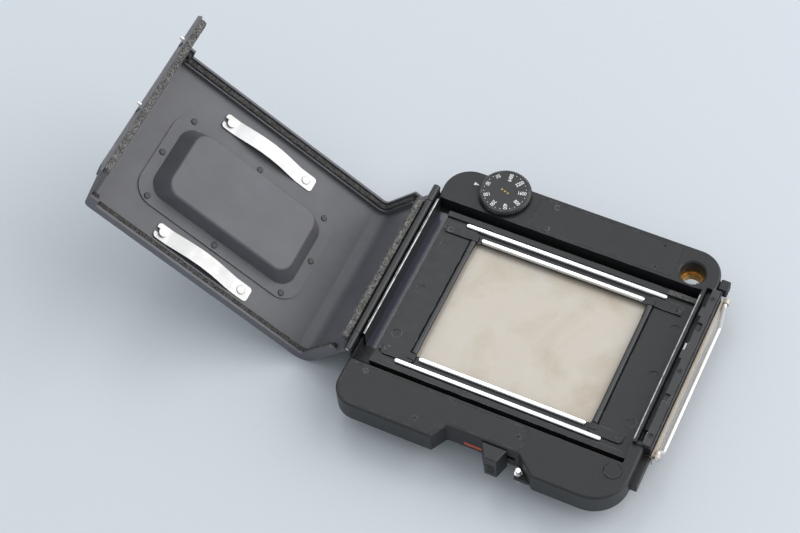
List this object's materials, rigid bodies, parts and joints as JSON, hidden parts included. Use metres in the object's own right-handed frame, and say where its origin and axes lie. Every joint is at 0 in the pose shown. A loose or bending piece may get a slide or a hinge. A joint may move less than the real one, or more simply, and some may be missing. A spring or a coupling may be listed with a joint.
{
  "type": "roll film holder",
  "caption": "Roll film holder shell for a medium-format camera, with its back cover swung open, dark slide in, film speed dial, cover latch and camera lock.",
  "frame": {"origin": "centre of the camera opening, in the face that seats on the camera", "axes": "+X along the film from the hinge to the dark slide's handle, +Y to the film speed dial, +Z away from the camera to the back cover"},
  "size_m": [0.2301, 0.12, 0.0935],
  "materials": {
    "black_paint": "satin black enamel on cast alloy",
    "black_sheet": "satin black enamel on sheet",
    "black_steel": "blackened steel",
    "polished_steel": "polished",
    "bright_steel": "bright rolled",
    "stainless_sheet": "dull rolled stainless",
    "brass": "turned",
    "black_plastic": "smooth black",
    "number_plate": "black with white numbers",
    "foam": "grey velvet foam",
    "felt": "grey felt",
    "orange_paint": "orange-red enamel",
    "white_paint": "white enamel"
  },
  "bodies": {
    "holder_body": {"body_casting": "black_paint", "camera_flange": "black_paint", "flange_screws": "black_steel", "gate_plate": "black_steel", "inner_rail_upper": "polished_steel", "inner_rail_lower": "polished_steel", "outer_rail_upper": "polished_steel", "outer_rail_lower": "polished_steel", "left_roller_axle": "bright_steel", "right_roller_axle": "bright_steel", "upper_left_bracket": "black_steel", "lower_left_bracket": "black_steel", "upper_right_bracket": "black_steel", "lower_right_bracket": "black_steel", "bracket_screws": "black_steel", "upper_wing_plate": "black_sheet", "upper_plate_screws": "black_steel", "lower_wing_plate": "black_sheet", "lower_plate_screws": "black_steel", "hinge_side_wall": "black_steel", "upper_slide_felt": "felt", "lower_slide_felt": "felt", "latch_plate": "black_steel", "latch_plate_screws": "black_steel", "latch_spring": "bright_steel", "dial_index": "white_paint", "coupling_bush": "brass", "wing_plug": "black_sheet", "lock_indicator": "orange_paint", "ridge_felt": "felt", "body_hinge_leaf": "black_steel", "hinge_screws": "black_steel", "hinge_pin": "bright_steel"},
    "cover": {"back_cover": "black_sheet", "cover_hinge_leaf": "black_steel", "upper_side_seal": "foam", "lower_side_seal": "foam", "hinge_seal": "foam", "end_seal": "foam", "strike_plate": "black_sheet", "strike_pins": "polished_steel", "clearance_pan": "black_sheet", "pan_rivets": "black_steel", "upper_leaf_spring": "polished_steel", "lower_leaf_spring": "polished_steel", "spring_rivets": "polished_steel", "spring_studs": "polished_steel"},
    "left_roller": {"left_guide_roller": "black_plastic"},
    "right_roller": {"right_guide_roller": "black_plastic"},
    "slide": {"dark_slide": "stainless_sheet"},
    "handle": {"slide_handle": "polished_steel"},
    "latch": {"latch_bar": "bright_steel", "latch_knob": "black_plastic"},
    "dial": {"speed_dial": "black_paint", "dial_number_plate": "number_plate"},
    "lock": {"lock_lug": "black_paint"},
    "seating_pin": {"interlock_pin": "polished_steel"}
  },
  "joints": [
    {"name": "cover_hinge", "type": "hinge", "parent": "holder_body", "child": "cover", "pos_m": [-0.059, 0, 0.023], "axis": [0, 1, 0], "range_deg": [0, 145.4]},
    {"name": "dark_slide_pull", "type": "slide", "parent": "holder_body", "child": "slide", "axis": [1, 0, 0], "range_m": [0, 0.115]},
    {"name": "handle_swing", "type": "hinge", "parent": "slide", "child": "handle", "pos_m": [0.0625, 0, 0.0147], "axis": [0, -1, 0], "range_deg": [0, 165]},
    {"name": "latch_knob_slide", "type": "slide", "parent": "holder_body", "child": "latch", "axis": [0, 1, 0], "range_m": [0, 0.003], "stiffness_N_per_m": 300, "springref_m": -0.003},
    {"name": "speed_dial_turn", "type": "hinge", "parent": "holder_body", "child": "dial", "pos_m": [-0.0337, 0.0509, 0.021], "axis": [0, 0, 1], "range_deg": [-160, 160]},
    {"name": "left_roller_spin", "type": "hinge", "parent": "holder_body", "child": "left_roller", "pos_m": [-0.0369, 0, 0.0168], "axis": [0, 1, 0], "continuous": true},
    {"name": "right_roller_spin", "type": "hinge", "parent": "holder_body", "child": "right_roller", "pos_m": [0.0369, 0, 0.0168], "axis": [0, 1, 0], "continuous": true},
    {"name": "lock_lug_slide", "type": "slide", "parent": "holder_body", "child": "lock", "axis": [1, 0, 0], "range_m": [0, 0.0045]},
    {"name": "interlock_pin_press", "type": "slide", "parent": "holder_body", "child": "seating_pin", "axis": [0, 0, 1], "range_m": [0, 0.002], "stiffness_N_per_m": 150, "springref_m": -0.002}
  ]
}
